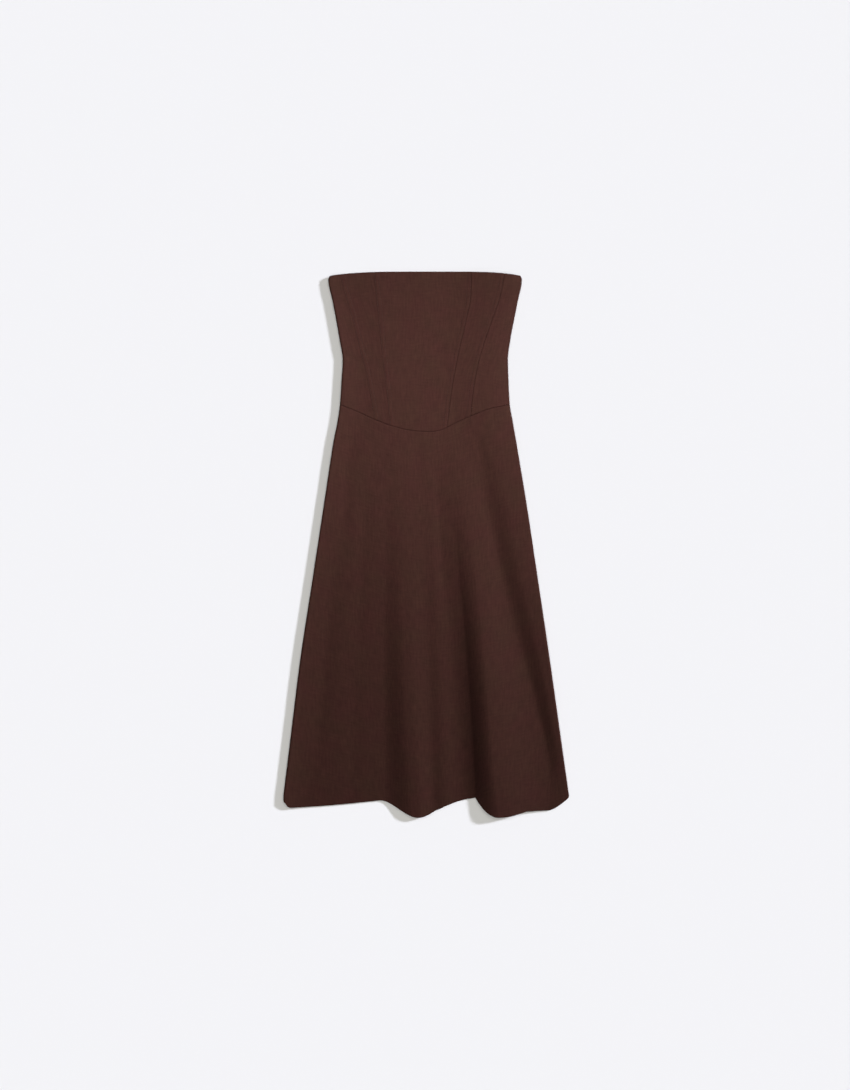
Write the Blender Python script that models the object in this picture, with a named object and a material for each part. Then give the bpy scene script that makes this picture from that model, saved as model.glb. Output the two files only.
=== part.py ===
"""A strapless dress: a boned bodice sewn to an A-line midi skirt, lying flat on its back.

Metres, +Z up. The neckline is towards +Y, the hem towards -Y, and left and right are those
of someone who looks down on the dress. The origin is on the surface that the dress lies on,
under the middle of its outline. A drop is a distance down the dress, measured from the
highest point of the neckline.
"""

import math
from bisect import bisect_right
from typing import Callable, NamedTuple

import bmesh
import bpy

# The whole dress
LENGTH = 1.091
CLOTH = 0.0012
SEAM_GAP = 0.0003

# How the cloth lies: the front just above the back, both turned up or down at the sides
REST_HEIGHT = 0.0045
EDGE_HEIGHT = 0.0100
LEFT_FADE = 0.055
SIDE_SEAM_HEIGHT = 0.0036
LIP = 0.0004
ROLL_WIDTH = 0.003
ROLL_ANGLES = tuple(map(math.radians, (0, 30, 60)))

# The boning channels, each beside its seam on the side of the centre front
CHANNEL_RISE = 0.0008
CHANNEL_WIDTH = 0.008
CHANNEL_STEPS = ((0.001, 0.0), (0.0025, 1.0), (0.0065, 1.0), (CHANNEL_WIDTH, 0.0))

# The neckline is highest at the centre and dips this far to its corners
NECK_DIP = 0.0085
NECK_HALF_WIDTH = 0.190
NECK_POWER = 4

# The zip in the centre back seam, inside the dress
ZIP_TOP = 0.024
ZIP_END = 0.470
ZIP_HALF_WIDTH = 0.012
ZIP_TAPE = 0.0007
ZIP_COIL = 0.0012
ZIP_COIL_HALF_WIDTH = 0.0025
SLIDER_TOP = 0.008
SLIDER_HALF_WIDTH = 0.003

# Mesh rows down each panel. The bodice has two more close to its neckline, for its corners.
BODICE_ROWS = 12
NECK_SHARES = (0.012, 0.036)
SKIRT_ROWS = 20
SKIRT_BACK_ROWS = 14

CLOTH_BROWN = (0.066, 0.028, 0.022, 1.0)
TAPE_BROWN = (0.045, 0.020, 0.016, 1.0)
SLIDER_BROWN = (0.050, 0.024, 0.018, 1.0)


class SideRow(NamedTuple):
    """The outline of the dress at one drop."""

    drop: float
    left: float
    right: float


class SeamRow(NamedTuple):
    """Where the four front bodice seams run at one drop."""

    drop: float
    outer_left: float
    inner_left: float
    inner_right: float
    outer_right: float


class SwellRow(NamedTuple):
    """How the cloth swells beside the right side at one drop.

    It is full at the inset from that side, its slope is as wide as the fade, and it falls
    again to the side by the share called fall. height is a share of the lift at the edges.
    """

    drop: float
    inset: float
    fade: float
    height: float
    fall: float


class WaistRow(NamedTuple):
    """The waist seam of the front, or the back hem, at one place across."""

    across: float
    drop: float


class FoldRow(NamedTuple):
    """A line down the skirt front, along the foot or the crest of a fold.

    across and rise have a value for each drop in FOLD_DROPS, and rise is above the cloth
    where it lies. hem is the drop at which the line meets the hem.
    """

    name: str
    hem: float
    across: tuple
    rise: tuple


class Line(NamedTuple):
    """A line down the skirt front with its shape to the next line on its right."""

    across: Callable
    rise: Callable
    hem: float
    columns: int
    bend: Callable
    hem_bend: Callable


class Column(NamedTuple):
    """A column of a bodice panel: its share of the way across, then an offset, and a rise."""

    share: float
    offset: float
    rise: float = 0.0


SIDES = (
    SideRow(drop=0.008, left=-0.1905, right=0.1875),
    SideRow(drop=0.011, left=-0.1940, right=0.1900),
    SideRow(drop=0.017, left=-0.1956, right=0.1912),
    SideRow(drop=0.057, left=-0.1876, right=0.1836),
    SideRow(drop=0.097, left=-0.1800, right=0.1756),
    SideRow(drop=0.137, left=-0.1730, right=0.1682),
    SideRow(drop=0.177, left=-0.1670, right=0.1634),
    SideRow(drop=0.217, left=-0.1692, right=0.1646),
    SideRow(drop=0.266, left=-0.1725, right=0.1672),
    SideRow(drop=0.297, left=-0.1768, right=0.1726),
    SideRow(drop=0.337, left=-0.1848, right=0.1796),
    SideRow(drop=0.377, left=-0.1912, right=0.1864),
    SideRow(drop=0.457, left=-0.2032, right=0.1996),
    SideRow(drop=0.617, left=-0.2275, right=0.2238),
    SideRow(drop=0.777, left=-0.2520, right=0.2475),
    SideRow(drop=0.937, left=-0.2718, right=0.2700),
    SideRow(drop=1.047, left=-0.2855, right=0.2855),
)

SEAMS = (
    SeamRow(drop=0.000, outer_left=-0.174, inner_left=-0.105, inner_right=0.0910, outer_right=0.158),
    SeamRow(drop=0.050, outer_left=-0.161, inner_left=-0.100, inner_right=0.0895, outer_right=0.148),
    SeamRow(drop=0.100, outer_left=-0.146, inner_left=-0.095, inner_right=0.0795, outer_right=0.131),
    SeamRow(drop=0.150, outer_left=-0.134, inner_left=-0.090, inner_right=0.0680, outer_right=0.114),
    SeamRow(drop=0.200, outer_left=-0.121, inner_left=-0.084, inner_right=0.0580, outer_right=0.101),
    SeamRow(drop=0.250, outer_left=-0.111, inner_left=-0.078, inner_right=0.0495, outer_right=0.093),
    SeamRow(drop=0.310, outer_left=-0.100, inner_left=-0.072, inner_right=0.0425, outer_right=0.088),
)

WAIST = (
    WaistRow(across=-0.1725, drop=0.266),
    WaistRow(across=-0.1350, drop=0.281),
    WaistRow(across=-0.1020, drop=0.296),
    WaistRow(across=-0.0670, drop=0.309),
    WaistRow(across=-0.0320, drop=0.317),
    WaistRow(across=0.0060, drop=0.320),
    WaistRow(across=0.0240, drop=0.318),
    WaistRow(across=0.0530, drop=0.305),
    WaistRow(across=0.0930, drop=0.287),
    WaistRow(across=0.1280, drop=0.274),
    WaistRow(across=0.1672, drop=0.266),
)
BACK_WAIST_DIP = 0.008

BACK_HEM = (
    WaistRow(across=-0.2855, drop=1.046),
    WaistRow(across=-0.2810, drop=1.058),
    WaistRow(across=-0.2680, drop=1.066),
    WaistRow(across=-0.0900, drop=1.052),
    WaistRow(across=0.1000, drop=1.046),
    WaistRow(across=0.2600, drop=1.052),
    WaistRow(across=0.2855, drop=1.046),
)

RIGHT_SWELL = (
    SwellRow(drop=0.000, inset=0.032, fade=0.110, height=1.00, fall=0.85),
    SwellRow(drop=0.200, inset=0.034, fade=0.105, height=1.00, fall=0.80),
    SwellRow(drop=0.300, inset=0.034, fade=0.090, height=1.00, fall=0.45),
    SwellRow(drop=0.400, inset=0.036, fade=0.055, height=1.00, fall=0.35),
    SwellRow(drop=0.550, inset=0.034, fade=0.036, height=1.00, fall=0.50),
    SwellRow(drop=0.700, inset=0.020, fade=0.036, height=1.00, fall=0.10),
    SwellRow(drop=0.850, inset=0.009, fade=0.031, height=1.00, fall=0.00),
    SwellRow(drop=0.950, inset=0.006, fade=0.026, height=0.70, fall=0.00),
    SwellRow(drop=1.030, inset=0.006, fade=0.026, height=0.15, fall=0.00),
    SwellRow(drop=1.091, inset=0.006, fade=0.026, height=0.00, fall=0.00),
)

FOLD_DROPS = (0.262, 0.400, 0.550, 0.700, 0.850, 1.000, 1.091)
FOLDS = {
    row.name: row
    for row in (
        FoldRow(
            name="left_foot",
            hem=1.057,
            across=(-0.087, -0.090, -0.091, -0.094, -0.094, -0.092, -0.092),
            rise=(0, 0, 0, 0, 0, 0, 0),
        ),
        FoldRow(
            name="left_crest",
            hem=1.091,
            across=(-0.052, -0.048, -0.043, -0.038, -0.032, -0.022, -0.016),
            rise=(0, 0.0008, 0.0024, 0.0050, 0.0076, 0.0084, 0.0080),
        ),
        FoldRow(
            name="dip",
            hem=1.0765,
            across=(0.000, 0.000, 0.002, 0.006, 0.011, 0.016, 0.020),
            rise=(0, 0.0002, 0.0007, 0.0018, 0.0032, 0.0036, 0.0034),
        ),
        FoldRow(
            name="knoll",
            hem=1.0702,
            across=(0.012, 0.012, 0.014, 0.019, 0.025, 0.031, 0.035),
            rise=(0, 0.0002, 0.0008, 0.0021, 0.0038, 0.0043, 0.0041),
        ),
        FoldRow(
            name="hollow",
            hem=1.0540,
            across=(0.030, 0.025, 0.032, 0.050, 0.065, 0.078, 0.086),
            rise=(0, 0, 0, 0, 0, 0, 0),
        ),
        FoldRow(
            name="middle_foot",
            hem=1.0515,
            across=(0.050, 0.055, 0.062, 0.076, 0.087, 0.096, 0.100),
            rise=(0, 0.0012, 0.0024, 0.0024, 0.0018, 0.0010, 0.0006),
        ),
        FoldRow(
            name="middle_crest",
            hem=1.0905,
            across=(0.068, 0.076, 0.092, 0.108, 0.122, 0.134, 0.144),
            rise=(0, 0.0016, 0.0066, 0.0124, 0.0170, 0.0176, 0.0143),
        ),
        FoldRow(
            name="shoulder",
            hem=1.0790,
            across=(0.080, 0.096, 0.122, 0.148, 0.176, 0.196, 0.201),
            rise=(0, 0.0008, 0.0031, 0.0052, 0.0073, 0.0072, 0.0062),
        ),
        FoldRow(
            name="right_foot",
            hem=1.0770,
            across=(0.092, 0.112, 0.140, 0.174, 0.217, 0.247, 0.247),
            rise=(0, 0, 0, 0, 0, 0, 0),
        ),
    )
}
LEVEL = (0, 0, 0, 0, 0, 0, 0)
STEEPNESS = 1.35
LEFT_SIDE_HEM = 1.054
LEFT_ROLL_HEM = 1.0615
LEFT_CORNER_INSET = 0.015
LEFT_CORNER_HEM = 1.0718
RIGHT_CREST_HEM = 1.0590
RIGHT_ROLL_HEM = 1.0535
RIGHT_SIDE_HEM = 1.047


def smooth_curve(stations, values):
    """A smooth function through the values that never swings past them."""
    steps = [after - before for before, after in zip(stations, stations[1:])]
    slopes = [(after - before) / step for before, after, step in zip(values, values[1:], steps)]
    tangents = [slopes[0]]
    for before, after in zip(slopes, slopes[1:]):
        same_way = before * after > 0
        tangents.append(2 * before * after / (before + after) if same_way else 0.0)
    tangents.append(slopes[-1])

    def value_at(station):
        i = max(0, min(len(steps) - 1, bisect_right(stations, station) - 1))
        t = clamped((station - stations[i]) / steps[i])
        return (
            (1 + 2 * t) * (1 - t) ** 2 * values[i]
            + t * (1 - t) ** 2 * steps[i] * tangents[i]
            + t * t * (3 - 2 * t) * values[i + 1]
            - t * t * (1 - t) * steps[i] * tangents[i + 1]
        )

    return value_at


def columns_of(rows):
    """The columns of a table as lists."""
    return [list(column) for column in zip(*rows)]


def clamped(t):
    return max(0.0, min(1.0, t))


def swell(t):
    """From 0 to 1, level at both ends, as soft cloth bends from a foot to a crest."""
    t = clamped(t)
    return t * t * (3 - 2 * t)


def climb(t):
    """Steep at first and level at the end, as cloth leaves a crease."""
    return 1 - (1 - t) ** 2


def sink(t):
    """Level at first and steep at the end, as cloth runs down into a crease."""
    return 0.5 * t + 0.5 * dive(t)


def dive(t):
    """Quite level at first and steep at the end, as the hem hangs round a fold."""
    return 1 - math.cos(t * math.pi / 2)


def settle(t):
    """Steep at first and level at the end, as cloth that runs out from a slope."""
    return 1 - sink(1 - t)


def steep(t):
    """Level near both lines, with all of its rise in the middle of the way."""
    return swell((t - 0.5) * STEEPNESS + 0.5)


def between(first, last, share):
    return first + (last - first) * share


drops, lefts, rights = columns_of(SIDES)
left_side = smooth_curve(drops, lefts)
right_side = smooth_curve(drops, rights)

drops, *seam_columns = columns_of(SEAMS)
outer_left, inner_left, inner_right, outer_right = (smooth_curve(drops, xs) for xs in seam_columns)

waist = smooth_curve(*columns_of(WAIST))
back_hem = smooth_curve(*columns_of(BACK_HEM))

drops, *swell_columns = columns_of(RIGHT_SWELL)
swell_inset, swell_fade, swell_height, swell_fall = (smooth_curve(drops, xs) for xs in swell_columns)


def neckline(across):
    return NECK_DIP * (across / NECK_HALF_WIDTH) ** NECK_POWER


def back_waist(across):
    return WAIST[0].drop + BACK_WAIST_DIP * (1 - (across / WAIST[0].across) ** 2)


def resting_height(across, drop):
    """The upper face: it rises to the left side and swells before it falls to the right one."""
    left_inset = across - left_side(drop) - ROLL_WIDTH
    right_inset = right_side(drop) - across - ROLL_WIDTH
    rise_left = (1 - clamped(left_inset / LEFT_FADE)) ** 2
    full = swell_inset(drop)
    rise_right = swell_height(drop) * swell((full + swell_fade(drop) - right_inset) / swell_fade(drop))
    fall = swell_fall(drop) * clamped(1 - right_inset / full) ** 2
    return REST_HEIGHT + (EDGE_HEIGHT - REST_HEIGHT) * (rise_left + rise_right - fall)


def where_they_cross(across_at, drop_at, drop):
    """The drop at which a line down the dress meets a line across it."""
    for _ in range(8):
        drop = drop_at(across_at(drop))
    return drop


def roll_inset(angle, width=ROLL_WIDTH):
    """How far in from the side a turned edge is at an angle round its roll; 0 is outermost."""
    return width * (1 - math.cos(angle))


def roll_height(angle, top):
    """The height of the front where it turns down to the side seam."""
    foot = SIDE_SEAM_HEIGHT + LIP
    return between(foot, top, math.sin(angle))


def row_shares(rows, extra=()):
    """How far down a panel each of its rows lies, as shares of its length."""
    return sorted([row / rows for row in range(rows + 1)] + list(extra))


def to_world(point):
    across, drop, height = point
    return across, LENGTH / 2 - drop, height


def wall(name, grid, material, facing_down=False):
    """A closed wall of cloth whose outer face is the grid, with its points row by row."""
    mesh = bpy.data.meshes.new(name)
    bm = bmesh.new()
    rows = [[bm.verts.new(to_world(point)) for point in row] for row in grid]
    for upper, lower in zip(rows, rows[1:]):
        for i in range(len(upper) - 1):
            corners = (upper[i], lower[i], lower[i + 1], upper[i + 1])
            bm.faces.new(corners[::-1] if facing_down else corners)
    bm.to_mesh(mesh)
    bm.free()
    mesh.shade_smooth()
    mesh.materials.append(material)
    panel = bpy.data.objects.new(name, mesh)
    bpy.context.scene.collection.objects.link(panel)
    thickness = panel.modifiers.new("cloth thickness", "SOLIDIFY")
    thickness.thickness = CLOTH
    thickness.offset = -1
    thickness.use_even_offset = True
    thickness.use_quality_normals = True
    return panel


def plain_columns(count, first_offset=0.0, last_offset=0.0):
    """Evenly spaced columns between two offsets from a panel's edges, without its edges."""
    shares = [i / count for i in range(1, count)]
    return [Column(share, between(first_offset, -last_offset, share)) for share in shares]


def channel_columns(at_right):
    """The columns over a boning channel at one edge of a panel, from its left to its right."""
    share = 1.0 if at_right else 0.0
    inwards = -1 if at_right else 1
    columns = [Column(share, inwards * inset, CHANNEL_RISE * up) for inset, up in CHANNEL_STEPS]
    return columns[::-1] if at_right else columns


def front_bodice_panel(name, material, left_seam, right_seam, columns, rolled=""):
    """A front panel between two seams, from the neckline to the waist seam.

    rolled says which edge, if any, is a side of the dress and turns down to its seam.
    """
    left_gap = 0.0 if rolled == "left" else SEAM_GAP / 2
    right_gap = 0.0 if rolled == "right" else SEAM_GAP / 2
    edges = (
        lambda drop: left_seam(drop) + left_gap,
        lambda drop: right_seam(drop) - right_gap,
    )
    tops = [where_they_cross(edge, neckline, 0.0) for edge in edges]
    bottoms = [where_they_cross(edge, waist, WAIST[0].drop) for edge in edges]

    grid = []
    for share_down in row_shares(BODICE_ROWS, NECK_SHARES):
        left, right = (
            edge(between(top, bottom, share_down))
            for edge, top, bottom in zip(edges, tops, bottoms)
        )

        def point(column):
            def place(left_x, right_x):
                return between(left_x, right_x, column.share) + column.offset

            top = neckline(place(*(edge(top) for edge, top in zip(edges, tops))))
            foot = waist(place(*(edge(low) for edge, low in zip(edges, bottoms))))
            drop = between(top, foot - SEAM_GAP / 2, share_down)
            across = place(left, right)
            return across, drop, resting_height(across, drop) + column.rise

        points = [point(column) for column in columns]
        if rolled:
            share, inwards = (0.0, 1) if rolled == "left" else (1.0, -1)
            brink = points[0 if rolled == "left" else -1][2]
            turned = [
                (*point(Column(share, inwards * roll_inset(angle)))[:2], roll_height(angle, brink))
                for angle in ROLL_ANGLES
            ]
            turned.insert(0, (*turned[0][:2], SIDE_SEAM_HEIGHT + SEAM_GAP / 2))
            points = turned + points if rolled == "left" else points + turned[::-1]
        grid.append(points)
    return wall(name, grid, material)


def back_panel(name, material, side, top, bottom, shares, columns):
    """A plain back panel from the centre back seam to one side, flat but for its turned edge."""
    inwards = 1 if side is left_side else -1
    seam_x = -inwards * SEAM_GAP / 2
    foot = SIDE_SEAM_HEIGHT - LIP
    places = [(roll_inset(angle), foot * (1 - math.sin(angle))) for angle in ROLL_ANGLES]
    places.insert(0, (0.0, SIDE_SEAM_HEIGHT - SEAM_GAP / 2))
    places.append((ROLL_WIDTH, 0.0))

    def side_x(drop):
        return side(drop)

    side_top = where_they_cross(side_x, top, 0.0)
    side_bottom = where_they_cross(side_x, bottom, WAIST[0].drop)
    grid = []
    for share_down in shares:
        edge = side(between(side_top, side_bottom, share_down))

        def point(share, inset, height):
            def place(edge_x):
                return between(edge_x, seam_x, share) + inwards * inset * (1 - share)

            upper = top(place(side(side_top))) + SEAM_GAP / 2
            lower = bottom(place(side(side_bottom))) - SEAM_GAP / 2
            return place(edge), between(upper, lower, share_down), height

        points = [point(0.0, inset, height) for inset, height in places]
        points += [point(i / columns, ROLL_WIDTH, 0.0) for i in range(1, columns + 1)]
        grid.append(points if side is left_side else points[::-1])
    return wall(name, grid, material, facing_down=True)


def skirt_front_lines():
    """The lines down the skirt front, from its left roll to its right one."""

    def fold(name, columns, bend, hem_bend):
        row = FOLDS[name]
        across = smooth_curve(FOLD_DROPS, row.across)
        return Line(across, smooth_curve(FOLD_DROPS, row.rise), row.hem, columns, bend, hem_bend)

    def left_roll(drop):
        return left_side(drop) + ROLL_WIDTH

    def left_corner(drop):
        return left_side(drop) + LEFT_CORNER_INSET

    def right_crest(drop):
        return right_side(drop) - ROLL_WIDTH - swell_inset(drop)

    def right_roll(drop):
        return right_side(drop) - ROLL_WIDTH

    level = smooth_curve(FOLD_DROPS, LEVEL)
    return [
        Line(left_roll, level, LEFT_ROLL_HEM, 2, climb, climb),
        Line(left_corner, level, LEFT_CORNER_HEM, 8, sink, sink),
        fold("left_foot", 7, steep, steep),
        fold("left_crest", 4, swell, dive),
        fold("dip", 2, swell, sink),
        fold("knoll", 4, swell, settle),
        fold("hollow", 3, dive, sink),
        fold("middle_foot", 6, climb, climb),
        fold("middle_crest", 5, sink, dive),
        fold("shoulder", 5, settle, settle),
        fold("right_foot", 6, swell, sink),
        Line(right_crest, level, RIGHT_CREST_HEM, 3, sink, sink),
        Line(right_roll, level, RIGHT_ROLL_HEM, 1, sink, sink),
    ]


def skirt_front(material):
    """The skirt front: one panel whose fullness lies in folds that widen to the hem."""
    lines = skirt_front_lines()
    steps = [
        (here, after, i / here.columns)
        for here, after in zip(lines, lines[1:])
        for i in range(here.columns)
    ]
    steps.append((lines[-1], lines[-1], 0.0))

    def drop_of(across_at, hem, share_down):
        top = where_they_cross(across_at, waist, WAIST[0].drop) + SEAM_GAP / 2
        return between(top, hem, share_down)

    def lying_point(here, after, share, share_down):
        def across_at(drop):
            return between(here.across(drop), after.across(drop), share)

        drop = drop_of(across_at, between(here.hem, after.hem, here.hem_bend(share)), share_down)
        rise = between(here.rise(drop), after.rise(drop), here.bend(share))
        across = across_at(drop)
        return across, drop, resting_height(across, drop) + rise

    def rolled_edge(side, side_hem, line, brink, inwards, share_down):
        """The points of one edge, from its lip in towards the line where the roll begins."""

        def turned_point(angle):
            def across_at(drop):
                width = abs(line.across(drop) - side(drop))
                return side(drop) + inwards * roll_inset(angle, width)

            drop = drop_of(across_at, between(side_hem, line.hem, math.sin(angle)), share_down)
            return across_at(drop), drop, roll_height(angle, brink)

        turned = [turned_point(angle) for angle in ROLL_ANGLES]
        return [(*turned[0][:2], SIDE_SEAM_HEIGHT + SEAM_GAP / 2)] + turned

    grid = []
    for share_down in row_shares(SKIRT_ROWS):
        points = [lying_point(*step, share_down) for step in steps]
        left = rolled_edge(left_side, LEFT_SIDE_HEM, lines[0], points[0][2], 1, share_down)
        right = rolled_edge(right_side, RIGHT_SIDE_HEM, lines[-1], points[-1][2], -1, share_down)
        grid.append(left + points + right[::-1])
    return wall("skirt_front", grid, material)


def extruded(name, profile, along, material):
    """A closed piece swept straight from its profile, given as x, drop and height."""
    mesh = bpy.data.meshes.new(name)
    bm = bmesh.new()
    face = bm.faces.new([bm.verts.new(to_world(point)) for point in profile])
    swept = bmesh.ops.extrude_face_region(bm, geom=[face])["geom"]
    far_points = [item for item in swept if isinstance(item, bmesh.types.BMVert)]
    bmesh.ops.translate(bm, vec=along, verts=far_points)
    bmesh.ops.recalc_face_normals(bm, faces=bm.faces)
    bm.to_mesh(mesh)
    bm.free()
    mesh.materials.append(material)
    bpy.context.scene.collection.objects.link(bpy.data.objects.new(name, mesh))


def zip_and_slider(tape_material, slider_material):
    """The closed zip behind the centre back seam, and its slider at the neckline."""
    bottom = CLOTH + SEAM_GAP
    tape_top = bottom + ZIP_TAPE
    coil_top = bottom + ZIP_COIL
    half_section = (
        (ZIP_HALF_WIDTH, bottom),
        (ZIP_HALF_WIDTH, tape_top),
        (ZIP_COIL_HALF_WIDTH, tape_top),
        (ZIP_COIL_HALF_WIDTH, coil_top),
    )
    section = [(x, ZIP_TOP, z) for x, z in half_section]
    section += [(-x, ZIP_TOP, z) for x, z in reversed(half_section)]
    extruded("zip_tape", section, (0, ZIP_TOP - ZIP_END, 0), tape_material)

    half_outline = (
        (0.5 * SLIDER_HALF_WIDTH, SLIDER_TOP),
        (SLIDER_HALF_WIDTH, between(SLIDER_TOP, ZIP_TOP, 0.3)),
        (SLIDER_HALF_WIDTH, ZIP_TOP - SEAM_GAP),
    )
    outline = [(x, drop, bottom) for x, drop in half_outline]
    outline += [(-x, drop, bottom) for x, drop in reversed(half_outline)]
    extruded("zip_slider", outline, (0, 0, ZIP_COIL), slider_material)


def principled(name, colour, roughness, metallic=0.0):
    material = bpy.data.materials.new(name)
    material.use_nodes = True
    shader = material.node_tree.nodes["Principled BSDF"]
    shader.inputs["Base Color"].default_value = colour
    shader.inputs["Roughness"].default_value = roughness
    shader.inputs["Metallic"].default_value = metallic
    return material


def main():
    for existing in list(bpy.data.objects):
        bpy.data.objects.remove(existing)
    cloth = principled("brown cloth", CLOTH_BROWN, 0.85)
    tape = principled("zip tape", TAPE_BROWN, 0.8)
    slider = principled("painted slider", SLIDER_BROWN, 0.4, 0.6)

    edge = [Column(0.0, 0.0)]
    far_edge = [Column(1.0, 0.0)]
    channel = channel_columns(at_right=False)
    far_channel = channel_columns(at_right=True)
    front_bodice_panel(
        "bodice_centre_front",
        cloth,
        inner_left,
        inner_right,
        edge + channel + plain_columns(5, CHANNEL_WIDTH, CHANNEL_WIDTH) + far_channel + far_edge,
    )
    front_bodice_panel(
        "bodice_side_front_left",
        cloth,
        outer_left,
        inner_left,
        edge + channel + plain_columns(3, CHANNEL_WIDTH) + far_edge,
    )
    front_bodice_panel(
        "bodice_side_front_right",
        cloth,
        inner_right,
        outer_right,
        edge + plain_columns(3, 0.0, CHANNEL_WIDTH) + far_channel + far_edge,
    )
    front_bodice_panel(
        "bodice_underarm_left",
        cloth,
        left_side,
        outer_left,
        [Column(0.0, ROLL_WIDTH)] + plain_columns(5, ROLL_WIDTH) + far_edge,
        rolled="left",
    )
    front_bodice_panel(
        "bodice_underarm_right",
        cloth,
        outer_right,
        right_side,
        edge + plain_columns(6, 0.0, ROLL_WIDTH) + [Column(1.0, -ROLL_WIDTH)],
        rolled="right",
    )
    skirt_front(cloth)
    bodice_shares = row_shares(BODICE_ROWS, NECK_SHARES)
    skirt_shares = row_shares(SKIRT_BACK_ROWS)
    for hand, side in (("left", left_side), ("right", right_side)):
        back_panel(f"bodice_back_{hand}", cloth, side, neckline, back_waist, bodice_shares, 4)
        back_panel(f"skirt_back_{hand}", cloth, side, back_waist, back_hem, skirt_shares, 5)
    zip_and_slider(tape, slider)


main()
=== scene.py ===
import math
from typing import Callable, NamedTuple

import bpy
import numpy as np
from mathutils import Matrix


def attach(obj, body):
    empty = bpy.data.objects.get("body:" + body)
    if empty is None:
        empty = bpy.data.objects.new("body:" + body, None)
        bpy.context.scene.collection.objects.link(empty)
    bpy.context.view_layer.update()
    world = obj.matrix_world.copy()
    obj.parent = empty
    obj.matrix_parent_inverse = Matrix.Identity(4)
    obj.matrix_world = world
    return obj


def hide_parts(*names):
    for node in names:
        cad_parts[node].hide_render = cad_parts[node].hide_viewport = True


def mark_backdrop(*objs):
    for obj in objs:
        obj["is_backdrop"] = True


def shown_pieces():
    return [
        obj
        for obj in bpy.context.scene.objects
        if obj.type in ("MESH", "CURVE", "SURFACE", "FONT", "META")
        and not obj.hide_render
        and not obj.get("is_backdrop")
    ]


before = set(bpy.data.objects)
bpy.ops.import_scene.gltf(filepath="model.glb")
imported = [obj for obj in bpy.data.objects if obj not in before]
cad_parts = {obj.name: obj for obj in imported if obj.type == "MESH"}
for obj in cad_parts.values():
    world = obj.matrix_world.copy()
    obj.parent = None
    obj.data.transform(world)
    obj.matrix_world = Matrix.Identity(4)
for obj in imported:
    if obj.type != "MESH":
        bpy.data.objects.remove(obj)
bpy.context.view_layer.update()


# Camera
# The dress lies on a pale surface and is seen from straight above through a long lens, so its
# outline in the picture is its plan. The middle of its outline is the middle of the picture.
PICTURE_WIDTH = 1.700
CAMERA_HEIGHT = 5.0
CAMERA_X = -0.0023
CAMERA_Y = -0.0010
SENSOR = 36.0

bpy.ops.object.camera_add(location=(CAMERA_X, CAMERA_Y, CAMERA_HEIGHT), rotation=(0, 0, 0))
camera = bpy.context.object
camera.name = "camera"
camera.data.sensor_fit = "HORIZONTAL"
camera.data.sensor_width = SENSOR
camera.data.lens = SENSOR * CAMERA_HEIGHT / PICTURE_WIDTH
bpy.context.scene.camera = camera


# Bodice front
# Five panels of firm brown twill, cut to the body and joined by four seams. Beside each seam a
# boning channel is sewn to the inside with two rows of stitches and shows as a narrow raised
# band. A facing turns the neckline to a soft round edge.
LENGTH = 1.091
CLOTH = 0.0010
SEAM_GAP = 0.0003
REST_HEIGHT = 0.0045
EDGE_HEIGHT = 0.0100
LEFT_FADE = 0.055
SIDE_SEAM_HEIGHT = 0.0036
ROLL_WIDTH = 0.003
SEAM_ROUND = 0.0004
WAIST_ROUND = 0.0015
NECK_ROUND = 0.0018
CHANNEL_WIDTH = 0.010
CHANNEL_RISE = 0.00015
CHANNEL_SHOULDER = 0.0020
NEAR_ROW = 0.0015
FAR_ROW = 0.0085
ROW_DIP = 0.00022
ROW_DIP_WIDTH = 0.0006
PRESSED_RISE = 0.0003
PRESSED_WIDTH = 0.008
NECK_DIP = 0.0085
NECK_HALF_WIDTH = 0.190
NECK_POWER = 4
MID_BODICE = 0.100
CROSSING_STEPS = 8
CREASE_TAPER = 2
GRID_STEP = 0.0032
EDGE_STOPS = (0.0, 0.0002, 0.0005, 0.0009, 0.0016)
SEAM_STOPS = (0.0, 0.0001, 0.0003, 0.0005, 0.0008, 0.0011, NEAR_ROW, 0.0019, 0.0022, 0.0030)
CHANNEL_STOPS = (0.0045, 0.0060, 0.0073, 0.0078, 0.0082, FAR_ROW, 0.0088, 0.0092, 0.0098, 0.0110)
ROLL_ANGLES = np.radians(np.arange(0, 90, 10))
SHARPEST_FOLD = math.radians(50)


class SideRow(NamedTuple):
    """The outline of the dress at one drop, which is a distance down from the neckline."""

    drop: float
    left: float
    right: float


class SeamRow(NamedTuple):
    """Where the four front bodice seams run at one drop."""

    drop: float
    outer_left: float
    inner_left: float
    inner_right: float
    outer_right: float


class SwellRow(NamedTuple):
    """How the cloth swells beside the right side at one drop.

    It is full at the inset from that side, its slope is as wide as the fade, and it falls
    again to the side by the share called fall. height is a share of the lift at the edges.
    """

    drop: float
    inset: float
    fade: float
    height: float
    fall: float


class WaistRow(NamedTuple):
    """The waist seam, or the back hem, at one place across."""

    across: float
    drop: float


class Crease(NamedTuple):
    """A soft trough in the cloth, or a ridge where its depth is below nought."""

    start: tuple
    end: tuple
    width: float
    depth: float


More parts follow.
